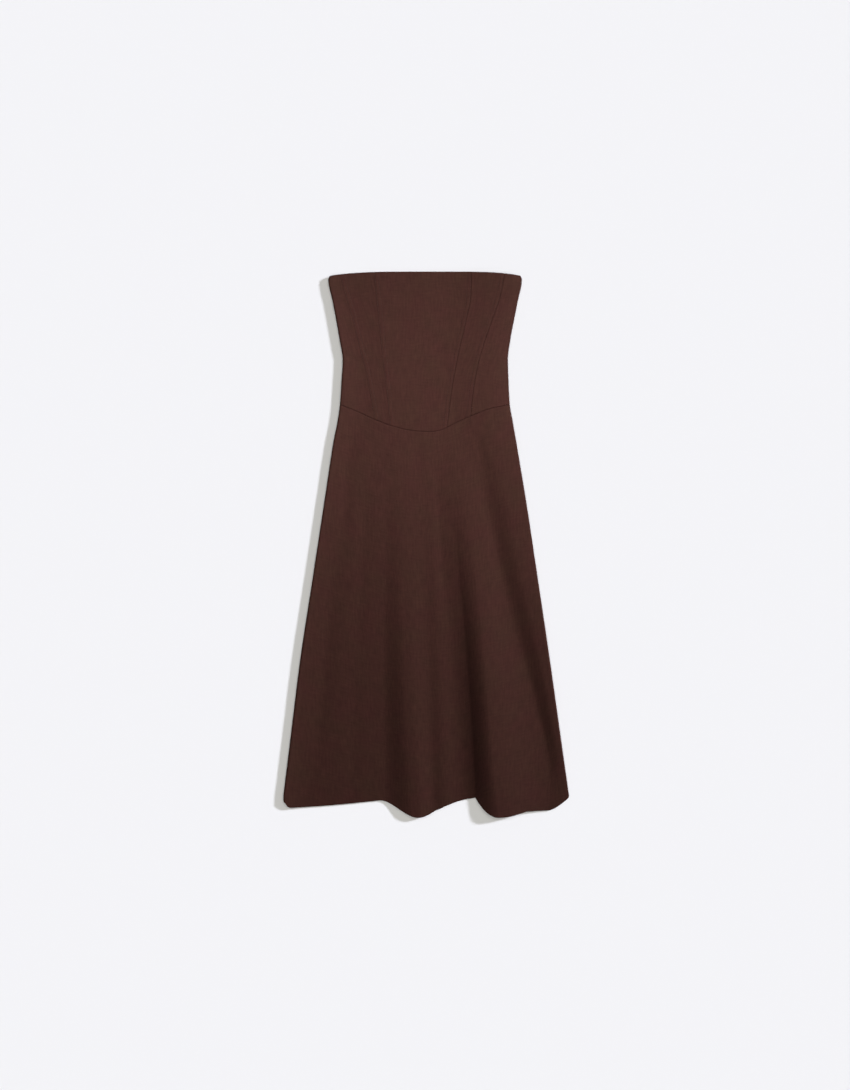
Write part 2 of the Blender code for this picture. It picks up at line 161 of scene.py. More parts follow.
SIDES = (
    SideRow(drop=0.008, left=-0.1905, right=0.1875),
    SideRow(drop=0.011, left=-0.1940, right=0.1900),
    SideRow(drop=0.017, left=-0.1956, right=0.1912),
    SideRow(drop=0.057, left=-0.1876, right=0.1836),
    SideRow(drop=0.097, left=-0.1800, right=0.1756),
    SideRow(drop=0.137, left=-0.1730, right=0.1682),
    SideRow(drop=0.177, left=-0.1670, right=0.1634),
    SideRow(drop=0.217, left=-0.1692, right=0.1646),
    SideRow(drop=0.266, left=-0.1725, right=0.1672),
    SideRow(drop=0.297, left=-0.1768, right=0.1726),
    SideRow(drop=0.337, left=-0.1848, right=0.1796),
    SideRow(drop=0.377, left=-0.1912, right=0.1864),
    SideRow(drop=0.457, left=-0.2032, right=0.1996),
    SideRow(drop=0.617, left=-0.2275, right=0.2238),
    SideRow(drop=0.777, left=-0.2520, right=0.2475),
    SideRow(drop=0.937, left=-0.2718, right=0.2700),
    SideRow(drop=1.047, left=-0.2855, right=0.2855),
)
SEAMS = (
    SeamRow(drop=0.000, outer_left=-0.174, inner_left=-0.105, inner_right=0.0910, outer_right=0.158),
    SeamRow(drop=0.050, outer_left=-0.161, inner_left=-0.100, inner_right=0.0895, outer_right=0.148),
    SeamRow(drop=0.100, outer_left=-0.146, inner_left=-0.095, inner_right=0.0795, outer_right=0.131),
    SeamRow(drop=0.150, outer_left=-0.134, inner_left=-0.090, inner_right=0.0680, outer_right=0.114),
    SeamRow(drop=0.200, outer_left=-0.121, inner_left=-0.084, inner_right=0.0580, outer_right=0.101),
    SeamRow(drop=0.250, outer_left=-0.111, inner_left=-0.078, inner_right=0.0495, outer_right=0.093),
    SeamRow(drop=0.310, outer_left=-0.100, inner_left=-0.072, inner_right=0.0425, outer_right=0.088),
)
WAIST = (
    WaistRow(across=-0.1725, drop=0.266),
    WaistRow(across=-0.1350, drop=0.281),
    WaistRow(across=-0.1020, drop=0.296),
    WaistRow(across=-0.0670, drop=0.309),
    WaistRow(across=-0.0320, drop=0.317),
    WaistRow(across=0.0060, drop=0.320),
    WaistRow(across=0.0240, drop=0.318),
    WaistRow(across=0.0530, drop=0.305),
    WaistRow(across=0.0930, drop=0.287),
    WaistRow(across=0.1280, drop=0.274),
    WaistRow(across=0.1672, drop=0.266),
)
RIGHT_SWELL = (
    SwellRow(drop=0.000, inset=0.032, fade=0.110, height=1.00, fall=0.85),
    SwellRow(drop=0.200, inset=0.034, fade=0.105, height=1.00, fall=0.80),
    SwellRow(drop=0.300, inset=0.034, fade=0.090, height=1.00, fall=0.45),
    SwellRow(drop=0.400, inset=0.036, fade=0.055, height=1.00, fall=0.35),
    SwellRow(drop=0.550, inset=0.034, fade=0.036, height=1.00, fall=0.50),
    SwellRow(drop=0.700, inset=0.020, fade=0.036, height=1.00, fall=0.10),
    SwellRow(drop=0.850, inset=0.009, fade=0.031, height=1.00, fall=0.00),
    SwellRow(drop=0.950, inset=0.006, fade=0.026, height=0.70, fall=0.00),
    SwellRow(drop=1.030, inset=0.006, fade=0.026, height=0.15, fall=0.00),
    SwellRow(drop=1.091, inset=0.006, fade=0.026, height=0.00, fall=0.00),
)
BODICE_CREASES = (
    Crease(start=(-0.165, 0.168), end=(-0.118, 0.186), width=0.006, depth=0.0007),
    Crease(start=(-0.160, 0.205), end=(-0.125, 0.199), width=0.005, depth=0.0005),
    Crease(start=(0.158, 0.160), end=(0.112, 0.182), width=0.006, depth=0.0007),
    Crease(start=(0.156, 0.196), end=(0.120, 0.204), width=0.005, depth=0.0005),
    Crease(start=(-0.050, 0.205), end=(0.020, 0.192), width=0.009, depth=0.0004),
    Crease(start=(-0.030, 0.270), end=(0.030, 0.262), width=0.008, depth=0.0004),
    Crease(start=(0.010, 0.030), end=(0.075, 0.052), width=0.014, depth=0.0007),
    Crease(start=(-0.080, 0.090), end=(-0.020, 0.120), width=0.012, depth=0.0005),
)


def smooth_curve(stations, values):
    """A smooth function through the values that never swings past them."""
    places = np.array(stations, dtype=float)
    heights = np.array(values, dtype=float)
    steps = np.diff(places)
    slopes = np.diff(heights) / steps
    before = slopes[:-1]
    after = slopes[1:]
    same_way = before * after > 0
    total = np.where(same_way, before + after, 1.0)
    inner = np.where(same_way, 2 * before * after / total, 0.0)
    tangents = np.concatenate((slopes[:1], inner, slopes[-1:]))

    def value_at(station):
        station = np.asarray(station, dtype=float)
        i = np.clip(np.searchsorted(places, station, side="right") - 1, 0, len(steps) - 1)
        t = np.clip((station - places[i]) / steps[i], 0.0, 1.0)
        return (
            (1 + 2 * t) * (1 - t) ** 2 * heights[i]
            + t * (1 - t) ** 2 * steps[i] * tangents[i]
            + t * t * (3 - 2 * t) * heights[i + 1]
            - t * t * (1 - t) * steps[i] * tangents[i + 1]
        )

    return value_at


def columns_of(rows):
    return [list(column) for column in zip(*rows)]


def swell(t):
    """From 0 to 1, level at both ends."""
    t = np.clip(t, 0.0, 1.0)
    return t * t * (3 - 2 * t)


def between(first, last, share):
    return first + (last - first) * share


drops, lefts, rights = columns_of(SIDES)
left_side = smooth_curve(drops, lefts)
right_side = smooth_curve(drops, rights)
drops, *seam_columns = columns_of(SEAMS)
outer_left, inner_left, inner_right, outer_right = (smooth_curve(drops, xs) for xs in seam_columns)
waist = smooth_curve(*columns_of(WAIST))
drops, *swell_columns = columns_of(RIGHT_SWELL)
swell_inset, swell_fade, swell_height, swell_fall = (smooth_curve(drops, xs) for xs in swell_columns)


def neckline(across):
    return NECK_DIP * (across / NECK_HALF_WIDTH) ** NECK_POWER


def resting_height(across, drop):
    """The upper face: it rises to the left side and swells before it falls to the right one."""
    left_inset = across - left_side(drop) - ROLL_WIDTH
    right_inset = right_side(drop) - across - ROLL_WIDTH
    rise_left = (1 - np.clip(left_inset / LEFT_FADE, 0.0, 1.0)) ** 2
    full = swell_inset(drop)
    rise_right = swell_height(drop) * swell((full + swell_fade(drop) - right_inset) / swell_fade(drop))
    fall = swell_fall(drop) * np.clip(1 - right_inset / full, 0.0, 1.0) ** 2
    return REST_HEIGHT + (EDGE_HEIGHT - REST_HEIGHT) * (rise_left + rise_right - fall)


def where_they_cross(across_at, drop_at, drop):
    """The drop at which a line down the dress meets a line across it."""
    for _ in range(CROSSING_STEPS):
        drop = drop_at(across_at(drop))
    return drop


def rounding(distance, radius):
    """How far a quarter-round edge falls below the face at a distance in from it."""
    inset = np.clip(distance, 0.0, radius)
    return radius - np.sqrt(radius**2 - (radius - inset) ** 2)


def channel_rise(distance):
    """The height of a boning channel at a distance from its seam, pulled in at its stitches."""
    down = swell((distance - CHANNEL_WIDTH + CHANNEL_SHOULDER) / CHANNEL_SHOULDER)
    near_dip = np.exp(-(((distance - NEAR_ROW) / ROW_DIP_WIDTH) ** 2))
    far_dip = np.exp(-(((distance - FAR_ROW) / ROW_DIP_WIDTH) ** 2))
    return CHANNEL_RISE * (1 - down) - ROW_DIP * (near_dip + far_dip)


def pressed_rise(distance):
    """The height over a seam allowance that is pressed to this side of its seam."""
    return PRESSED_RISE * (1 - swell(distance / PRESSED_WIDTH))


def crease_rise(creases, across, drop):
    """The height that all the creases add at a place: each is deepest in the middle of its run."""
    total = np.zeros(np.broadcast(across, drop).shape)
    for crease in creases:
        run_x = crease.end[0] - crease.start[0]
        run_y = crease.end[1] - crease.start[1]
        length = math.hypot(run_x, run_y)
        along = ((across - crease.start[0]) * run_x + (drop - crease.start[1]) * run_y) / length**2
        aside = ((across - crease.start[0]) * run_y - (drop - crease.start[1]) * run_x) / length
        fade = swell(along * CREASE_TAPER + 0.5) * swell((1 - along) * CREASE_TAPER + 0.5)
        total -= crease.depth * fade * np.exp(-((aside / crease.width) ** 2))
    return total


def edge_stops(length, near_edge=EDGE_STOPS, step=GRID_STEP):
    """Distances across a stretch of cloth, close together near both of its edges."""
    inner = max(2, round((length - 2 * near_edge[-1]) / step))
    middle = [between(near_edge[-1], length - near_edge[-1], i / inner) for i in range(1, inner)]
    return list(near_edge) + middle + [length - stop for stop in reversed(near_edge)]


def cloth_shell(name, points, thickness=CLOTH, facing_down=False):
    """A thin shell from a grid of points of its outer face, with its cloth lengths as its UV map."""
    rows, columns = points.shape[:2]
    bpy.ops.object.select_all(action="DESELECT")
    bpy.ops.mesh.primitive_grid_add(
        x_subdivisions=columns - 1, y_subdivisions=rows - 1, size=2, calc_uvs=True
    )
    shell = bpy.context.object
    shell.name = name
    mesh = shell.data
    mesh.name = name
    flat = np.empty(len(mesh.vertices) * 3, dtype=np.float32)
    mesh.vertices.foreach_get("co", flat)
    flat = flat.reshape(-1, 3)
    column = np.rint((flat[:, 0] + 1) / 2 * (columns - 1)).astype(int)
    row = np.rint((1 - flat[:, 1]) / 2 * (rows - 1)).astype(int)
    placed = points[row, column]
    world = np.column_stack((placed[:, 0], LENGTH / 2 - placed[:, 1], placed[:, 2]))
    mesh.vertices.foreach_set("co", world.astype(np.float32).ravel())

    across = np.zeros((rows, columns))
    down = np.zeros((rows, columns))
    across[:, 1:] = np.cumsum(np.linalg.norm(np.diff(points, axis=1), axis=2), axis=1)
    down[1:] = np.cumsum(np.linalg.norm(np.diff(points, axis=0), axis=2), axis=0)
    across -= across[:, -1:] / 2
    corner = np.empty(len(mesh.loops), dtype=np.int32)
    mesh.loops.foreach_get("vertex_index", corner)
    uv = np.column_stack((across[row, column][corner], -down[row, column][corner]))
    mesh.uv_layers[0].data.foreach_set("uv", uv.astype(np.float32).ravel())

    if facing_down:
        bpy.ops.object.mode_set(mode="EDIT")
        bpy.ops.mesh.select_all(action="SELECT")
        bpy.ops.mesh.flip_normals()
        bpy.ops.object.mode_set(mode="OBJECT")
    solidify = shell.modifiers.new("thickness", "SOLIDIFY")
    solidify.thickness = thickness
    solidify.offset = -1
    solidify.use_even_offset = True
    solidify.use_quality_normals = True
    bpy.ops.object.modifier_apply(modifier=solidify.name)
    bpy.ops.object.shade_smooth_by_angle(angle=SHARPEST_FOLD)
    return shell


class Socket:
    """A shader socket that takes part in Python arithmetic on values."""

    def __init__(self, graph, link):
        self.graph = graph
        self.link = link

    def _maths(self, operation, first, second):
        return self.graph.node("ShaderNodeMath", {"operation": operation}, {0: first, 1: second})

    def __add__(self, other):
        return self._maths("ADD", self, other)

    def __radd__(self, other):
        return self._maths("ADD", other, self)

    def __sub__(self, other):
        return self._maths("SUBTRACT", self, other)

    def __rsub__(self, other):
        return self._maths("SUBTRACT", other, self)

    def __mul__(self, other):
        return self._maths("MULTIPLY", self, other)

    def __rmul__(self, other):
        return self._maths("MULTIPLY", other, self)


class Graph:
    """The nodes of one new material."""

    def __init__(self, name):
        self.material = bpy.data.materials.new(name)
        self.material.use_nodes = True
        self.nodes = self.material.node_tree.nodes
        self.links = self.material.node_tree.links
        self.shader = self.nodes["Principled BSDF"]

    def set(self, owner, name, value):
        socket = owner.inputs[name]
        if isinstance(value, Socket):
            self.links.new(value.link, socket)
        else:
            socket.default_value = value

    def node(self, kind, settings=None, values=None, output=0):
        made = self.nodes.new(kind)
        for name, value in (settings or {}).items():
            setattr(made, name, value)
        for name, value in (values or {}).items():
            self.set(made, name, value)
        return Socket(self, made.outputs[output])

    def mix(self, share, first, second, blend="MIX"):
        """From the first colour to the second, or their product where blend says MULTIPLY."""
        settings = {"data_type": "RGBA", "blend_type": blend}
        values = {"Factor": share, "A": first, "B": second}
        return self.node("ShaderNodeMix", settings, values, output="Result")


TWILL_DARK = (0.0510, 0.0185, 0.0145, 1.0)
TWILL_PALE = (0.0755, 0.0281, 0.0214, 1.0)
TWILL_RED = (1.035, 0.93, 1.0, 1.0)
TWILL_TAN = (0.965, 1.075, 0.97, 1.0)
TWILL_SHEEN = (0.75, 0.5, 0.42, 1.0)
TWILL_RIB = 0.0011
BAND_AT_SCALE_ONE = 0.31
THREAD_SCALE = 300.0
SLUB_SCALE = 420.0
CLOUD_SCALE = 48.0
PATCH_SCALE = 20.0
WARP_CONTRAST = 1.3
WEFT_CONTRAST = 0.9
CLOUD_CONTRAST = 0.5
PATCH_CONTRAST = 1.6


def twill_cloth(name):
    """Dark brown cotton twill: fine diagonal ribs, a slub both ways and a soft uneven tone."""
    graph = Graph(name)
    uv = graph.node("ShaderNodeUVMap", {"uv_map": "UVMap"})

    def noise(scale, detail, across=1.0, down=1.0):
        stretched = graph.node("ShaderNodeMapping", {}, {"Vector": uv, "Scale": (across, down, 1)})
        return graph.node(
            "ShaderNodeTexNoise", {}, {"Vector": stretched, "Scale": scale, "Detail": detail}
        )

    ribs = graph.node(
        "ShaderNodeTexWave",
        {"wave_type": "BANDS", "bands_direction": "DIAGONAL", "wave_profile": "SIN"},
        {"Vector": uv, "Scale": BAND_AT_SCALE_ONE / TWILL_RIB, "Distortion": 0.6, "Detail": 1.0},
        output="Fac",
    )
    warp = noise(THREAD_SCALE, 2.0, across=1.0, down=0.14)
    weft = noise(THREAD_SCALE, 2.0, across=0.16, down=1.0)
    slub = noise(SLUB_SCALE, 2.0)
    cloud = noise(CLOUD_SCALE, 3.0)
    patch = noise(PATCH_SCALE, 1.0)
    threads = (warp - 0.5) * WARP_CONTRAST + (weft - 0.5) * WEFT_CONTRAST
    cloth = graph.mix(0.5 + threads + (cloud - 0.5) * CLOUD_CONTRAST, TWILL_DARK, TWILL_PALE)
    tint = graph.mix((patch - 0.5) * PATCH_CONTRAST + 0.5, TWILL_RED, TWILL_TAN)
    colour = graph.mix(1.0, cloth, tint, blend="MULTIPLY")
    bump = graph.node(
        "ShaderNodeBump",
        {},
        {"Height": ribs * 0.7 + slub * 0.4 + warp * 0.6, "Strength": 0.35, "Distance": 0.00025},
        output="Normal",
    )
    shader = graph.shader
    graph.set(shader, "Base Color", colour)
    graph.set(shader, "Roughness", 0.88 - slub * 0.12)
    graph.set(shader, "Normal", bump)
    graph.set(shader, "Specular IOR Level", 0.12)
    graph.set(shader, "Sheen Weight", 0.05)
    graph.set(shader, "Sheen Roughness", 0.5)
    graph.set(shader, "Sheen Tint", TWILL_SHEEN)
    return graph.material


bodice_cloth = twill_cloth("bodice twill")


def bodice_panel(name, left_seam, right_seam, channels="", pressed="", rolled=""):
    """A front panel of the bodice between two seams, from the neckline to the waist seam.

    channels says beside which seams a boning channel runs, pressed which seam has its
    allowance on this side, and rolled which edge is a side of the dress.
    """
    left_gap = 0.0 if rolled == "left" else SEAM_GAP / 2
    right_gap = 0.0 if rolled == "right" else SEAM_GAP / 2

    def left_edge(drop):
        return left_seam(drop) + left_gap

    def right_edge(drop):
        return right_seam(drop) - right_gap

    tops = [where_they_cross(edge, neckline, 0.0) for edge in (left_edge, right_edge)]
    lows = [where_they_cross(edge, waist, WAIST[0].drop) for edge in (left_edge, right_edge)]
    long_side = max(lows) - min(tops)
    shares_down = np.array(edge_stops(long_side)) / long_side
    width = float(right_edge(MID_BODICE) - left_edge(MID_BODICE))
    left_stops = SEAM_STOPS + (CHANNEL_STOPS if "left" in channels else ())
    right_stops = SEAM_STOPS + (CHANNEL_STOPS if "right" in channels else ())
    if rolled == "left":
        left_stops = (ROLL_WIDTH,)
    if rolled == "right":
        right_stops = (ROLL_WIDTH,)
    inner = max(3, round((width - left_stops[-1] - right_stops[-1]) / GRID_STEP))
    stops = [(0.0, stop) for stop in left_stops]
    stops += [
        (i / inner, between(left_stops[-1], -right_stops[-1], i / inner)) for i in range(1, inner)
    ]
    stops += [(1.0, -stop) for stop in reversed(right_stops)]
    share = np.array([stop[0] for stop in stops])
    offset = np.array([stop[1] for stop in stops])

    def grid_of(share, offset):
        top = neckline(between(left_edge(tops[0]), right_edge(tops[1]), share) + offset)
        low = waist(between(left_edge(lows[0]), right_edge(lows[1]), share) + offset)
        drop = between(top[None, :], low[None, :] - SEAM_GAP / 2, shares_down[:, None])
        left = left_edge(between(tops[0], lows[0], shares_down))[:, None]
        right = right_edge(between(tops[1], lows[1], shares_down))[:, None]
        across = between(left, right, share[None, :]) + offset[None, :]
        from_top = drop - top[None, :]
        from_low = low[None, :] - drop
        return across, drop, from_top, from_low, across - left, right - across

    across, drop, from_top, from_low, from_left, from_right = grid_of(share, offset)
    height = resting_height(across, drop) + crease_rise(BODICE_CREASES, across, drop)
    for edge, distance in (("left", from_left), ("right", from_right)):
        if edge in channels:
            height += channel_rise(distance)
        if edge == pressed:
            height += pressed_rise(distance)
        if edge != rolled:
            height -= rounding(distance, SEAM_ROUND)
    ends = rounding(from_top, NECK_ROUND) + rounding(from_low, WAIST_ROUND)
    points = np.stack((across, drop, height - ends), axis=2)
    for row in (NEAR_ROW, FAR_ROW):
        if "left" in channels:
            channel_rows.append(points[:, left_stops.index(row)])
        if "right" in channels:
            channel_rows.append(points[:, -1 - right_stops.index(row)])

    if rolled:
        at_left = rolled == "left"
        inset = ROLL_WIDTH * (1 - np.cos(ROLL_ANGLES))
        side_share = np.full(len(ROLL_ANGLES), 0.0 if at_left else 1.0)
        across, drop, _, _, _, _ = grid_of(side_share, inset if at_left else -inset)
        brink = points[:, :1, 2] if at_left else points[:, -1:, 2]
        foot = SIDE_SEAM_HEIGHT + SEAM_GAP / 2
        height = between(foot, brink, np.sin(ROLL_ANGLES)[None, :])
        turned = np.stack((across, drop, height), axis=2)
        points = np.concatenate((turned, points) if at_left else (points, turned[:, ::-1]), axis=1)
    panel = cloth_shell(name, points)
    return panel


channel_rows = []
bodice_front = [
    bodice_panel("centre_front_panel", inner_left, inner_right, channels="left right"),
    bodice_panel("side_front_panel_left", outer_left, inner_left, channels="left", pressed="right"),
    bodice_panel("side_front_panel_right", inner_right, outer_right, channels="right", pressed="left"),
    bodice_panel("underarm_panel_left", left_side, outer_left, pressed="right", rolled="left"),
    bodice_panel("underarm_panel_right", outer_right, right_side, pressed="left", rolled="right"),
]
bodice_front_nodes = (
    "bodice_centre_front",
    "bodice_side_front_left",
    "bodice_side_front_right",
    "bodice_underarm_left",
    "bodice_underarm_right",
)
for panel, node in zip(bodice_front, bodice_front_nodes):
    panel.data.materials.append(bodice_cloth)
    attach(panel, "root")
    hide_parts(node)


# Channel stitching
# Two rows of brown thread on each boning channel, one close to the seam and one at the far
# edge of the channel. Each stitch lies in the small hollow that its thread pulls in the cloth.
THREAD = 0.00022
STITCH_LENGTH = 0.0024
STITCH_PITCH = 0.0031
STITCH_LIFT = 0.00008
ROW_END = 0.003
THREAD_FLATNESS = 0.8
THREAD_DARK = (0.038, 0.0145, 0.0115, 1.0)
THREAD_PALE = (0.060, 0.0235, 0.0185, 1.0)


def sewn_row(name, points):
    """A row of stitches along a line of points of the cloth."""
    bpy.ops.object.select_all(action="DESELECT")
    bpy.ops.mesh.primitive_uv_sphere_add(
        segments=6, ring_count=4, radius=1, rotation=(0, math.pi / 2, 0)
    )
    stitch = bpy.context.object
    stitch.name = name
    bpy.ops.object.transform_apply(location=False, rotation=True, scale=False)
    stitch.scale = (STITCH_LENGTH / 2, THREAD, THREAD * THREAD_FLATNESS)
    stitch.location = (STITCH_PITCH / 2, 0, STITCH_LIFT)
    bpy.ops.object.transform_apply(location=True, rotation=False, scale=True)
    line = bpy.data.curves.new("line of stitches", "CURVE")
    line.dimensions = "3D"
    line.twist_mode = "Z_UP"
    spline = line.splines.new("POLY")
    spline.points.add(len(points) - 1)
    for spot, (across, drop, height) in zip(spline.points, points):
        spot.co = (across, LENGTH / 2 - drop, height, 1)
    guide = bpy.data.objects.new("line of stitches", line)
    bpy.context.scene.collection.objects.link(guide)
    repeat = stitch.modifiers.new("repeat", "ARRAY")
    repeat.fit_type = "FIT_CURVE"
    repeat.curve = guide
    repeat.use_relative_offset = False
    repeat.use_constant_offset = True
    repeat.constant_offset_displace = (STITCH_PITCH, 0, 0)
    follow = stitch.modifiers.new("follow", "CURVE")
    follow.object = guide
    for modifier in (repeat.name, follow.name):
        bpy.ops.object.modifier_apply(modifier=modifier)
    bpy.data.objects.remove(guide)
    bpy.ops.object.shade_smooth()
    return stitch


def joined(name, pieces):
    bpy.ops.object.select_all(action="DESELECT")
    for piece in pieces:
        piece.select_set(True)
    bpy.context.view_layer.objects.active = pieces[0]
    bpy.ops.object.join()
    pieces[0].name = name
    pieces[0].data.name = name
    return pieces[0]


def thread_finish(name):
    """Brown polyester thread with a fine twist and a faint gloss."""
    graph = Graph(name)
    place = graph.node("ShaderNodeTexCoord", output="Object")
    twist = graph.node("ShaderNodeTexNoise", {}, {"Vector": place, "Scale": 2600.0, "Detail": 1.0})
    bump = graph.node(
        "ShaderNodeBump", {}, {"Height": twist, "Strength": 0.4, "Distance": 0.0001}, output="Normal"
    )
    graph.set(graph.shader, "Base Color", graph.mix(twist, THREAD_DARK, THREAD_PALE))
    graph.set(graph.shader, "Normal", bump)
    graph.set(graph.shader, "Roughness", 0.55)
    graph.set(graph.shader, "Specular IOR Level", 0.3)
    return graph.material


brown_thread = thread_finish("brown thread")
sewn = []
for number, points in enumerate(channel_rows):
    well_inside = (points[:, 1] > points[0, 1] + ROW_END) & (points[:, 1] < points[-1, 1] - ROW_END)
    sewn.append(sewn_row(f"row_{number}", points[well_inside]))
channel_stitches = joined("channel_stitches", sewn)
channel_stitches.data.materials.append(brown_thread)
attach(channel_stitches, "root")


# Skirt front
# One flared panel of the same twill, cut so wide that its fullness lies in three long folds
# which start below the waist and widen to the hem. The hem is turned up inside.
FOLD_DROPS = (0.262, 0.400, 0.550, 0.700, 0.850, 1.000, 1.091)
LEFT_SIDE_HEM = 1.054
LEFT_ROLL_HEM = 1.0615
LEFT_CORNER_INSET = 0.015
LEFT_CORNER_HEM = 1.0718
RIGHT_CREST_HEM = 1.0590
RIGHT_ROLL_HEM = 1.0535
RIGHT_SIDE_HEM = 1.047
STEEPNESS = 1.35
HEM_ROUND = 0.0010
SKIRT_STEP = 0.0034
SKIRT_ROW_STEP = 0.0050


class FoldRow(NamedTuple):
    """A line down the skirt front, along the foot or the crest of a fold.

    across and rise have a value for each drop in FOLD_DROPS, and rise is above the cloth
    where it lies. hem is the drop at which the line meets the hem.
    """

    name: str
    hem: float
    across: tuple
    rise: tuple


class Line(NamedTuple):
    """A line down the skirt front with its shape to the next line on its right."""

    across: Callable
    rise: Callable
    hem: float
    bend: Callable
    hem_bend: Callable


FOLD_ROWS = (
    FoldRow(
        name="left_foot",
        hem=1.057,
        across=(-0.087, -0.090, -0.091, -0.094, -0.094, -0.092, -0.092),
        rise=(0, 0, 0, 0, 0, 0, 0),
    ),
    FoldRow(
        name="left_crest",
        hem=1.091,
        across=(-0.052, -0.048, -0.043, -0.038, -0.032, -0.022, -0.016),
        rise=(0, 0.0008, 0.0024, 0.0050, 0.0076, 0.0084, 0.0080),
    ),
    FoldRow(
        name="dip",
        hem=1.0765,
        across=(0.000, 0.000, 0.002, 0.006, 0.011, 0.016, 0.020),
        rise=(0, 0.0002, 0.0007, 0.0018, 0.0032, 0.0036, 0.0034),
    ),
    FoldRow(
        name="knoll",
        hem=1.0702,
        across=(0.012, 0.012, 0.014, 0.019, 0.025, 0.031, 0.035),
        rise=(0, 0.0002, 0.0008, 0.0021, 0.0038, 0.0043, 0.0041),
    ),
    FoldRow(
        name="hollow",
        hem=1.0540,
        across=(0.030, 0.025, 0.032, 0.050, 0.065, 0.078, 0.086),
        rise=(0, 0, 0, 0, 0, 0, 0),
    ),
    FoldRow(
        name="middle_foot",
        hem=1.0515,
        across=(0.050, 0.055, 0.062, 0.076, 0.087, 0.096, 0.100),
        rise=(0, 0.0012, 0.0024, 0.0024, 0.0018, 0.0010, 0.0006),
    ),
    FoldRow(
        name="middle_crest",
        hem=1.0905,
        across=(0.068, 0.076, 0.092, 0.108, 0.122, 0.134, 0.144),
        rise=(0, 0.0016, 0.0066, 0.0124, 0.0170, 0.0176, 0.0143),
    ),
    FoldRow(
        name="shoulder",
        hem=1.0790,
        across=(0.080, 0.096, 0.122, 0.148, 0.176, 0.196, 0.201),
        rise=(0, 0.0008, 0.0031, 0.0052, 0.0073, 0.0072, 0.0062),
    ),
    FoldRow(
        name="right_foot",
        hem=1.0770,
        across=(0.092, 0.112, 0.140, 0.174, 0.217, 0.247, 0.247),
        rise=(0, 0, 0, 0, 0, 0, 0),
    ),
)
FOLDS = {row.name: row for row in FOLD_ROWS}
LEVEL = (0, 0, 0, 0, 0, 0, 0)
SKIRT_CREASES = (
    Crease(start=(-0.150, 0.330), end=(-0.165, 0.520), width=0.012, depth=0.0007),
    Crease(start=(-0.120, 0.420), end=(-0.135, 0.760), width=0.016, depth=0.0008),
    Crease(start=(-0.190, 0.640), end=(-0.215, 0.960), width=0.015, depth=0.0008),
    Crease(start=(-0.140, 0.800), end=(-0.150, 1.040), width=0.014, depth=0.0006),
    Crease(start=(-0.020, 0.330), end=(-0.010, 0.430), width=0.010, depth=0.0005),
    Crease(start=(0.020, 0.400), end=(0.035, 0.640), width=0.012, depth=0.0007),
    Crease(start=(0.100, 0.330), end=(0.130, 0.440), width=0.010, depth=0.0008),
    Crease(start=(0.135, 0.620), end=(0.160, 0.820), width=0.012, depth=0.0002),
)


def climb(t):
    """Steep at first and level at the end, as cloth leaves a crease."""
    return 1 - (1 - t) ** 2


def sink(t):
    """Level at first and steep at the end, as cloth runs down into a crease."""
    return 0.5 * t + 0.5 * (1 - np.cos(t * math.pi / 2))


def dive(t):
    """Quite level at first and steep at the end, as the hem hangs round a fold."""
    return 1 - np.cos(t * math.pi / 2)


def settle(t):
    """Steep at first and level at the end, as cloth that runs out from a slope."""
    return 1 - sink(1 - t)


def steep(t):
    """Level near both lines, with all of its rise in the middle of the way."""
    return swell((t - 0.5) * STEEPNESS + 0.5)


def fold_line(name, bend, hem_bend=swell):
    row = FOLDS[name]
    across = smooth_curve(FOLD_DROPS, row.across)
    return Line(across, smooth_curve(FOLD_DROPS, row.rise), row.hem, bend, hem_bend)


level = smooth_curve(FOLD_DROPS, LEVEL)


def left_roll(drop):
    return left_side(drop) + ROLL_WIDTH


def left_corner(drop):
    return left_side(drop) + LEFT_CORNER_INSET


def right_crest(drop):
    return right_side(drop) - ROLL_WIDTH - swell_inset(drop)


def right_roll(drop):
    return right_side(drop) - ROLL_WIDTH


skirt_lines = [
    Line(left_roll, level, LEFT_ROLL_HEM, climb, climb),
    Line(left_corner, level, LEFT_CORNER_HEM, sink, sink),
    fold_line("left_foot", steep),
    fold_line("left_crest", swell, dive),
    fold_line("dip", swell, sink),
    fold_line("knoll", swell, settle),
    fold_line("hollow", dive, sink),
    fold_line("middle_foot", climb, climb),
    fold_line("middle_crest", sink, dive),
    fold_line("shoulder", settle, settle),
    fold_line("right_foot", swell, sink),
    Line(right_crest, level, RIGHT_CREST_HEM, sink, sink),
    Line(right_roll, level, RIGHT_ROLL_HEM, sink, sink),
]


def skirt_rows(across_at, hem, shares_down):
    """The drops and the places across of one column of the skirt, from the waist to the hem."""
    top = where_they_cross(across_at, waist, WAIST[0].drop) + SEAM_GAP / 2
    drop = between(top, hem, shares_down)
    return drop, across_at(drop), drop - top, hem - drop


def skirt_column(here, after, share, shares_down):
    def across_at(drop):
        return between(here.across(drop), after.across(drop), share)

    hem = between(here.hem, after.hem, here.hem_bend(share))
    drop, across, from_top, from_hem = skirt_rows(across_at, hem, shares_down)
    rise = between(here.rise(drop), after.rise(drop), here.bend(share))
    height = resting_height(across, drop) + rise + crease_rise(SKIRT_CREASES, across, drop)
    height -= rounding(from_top, WAIST_ROUND) + rounding(from_hem, HEM_ROUND)
    return np.stack((across, drop, height), axis=1)


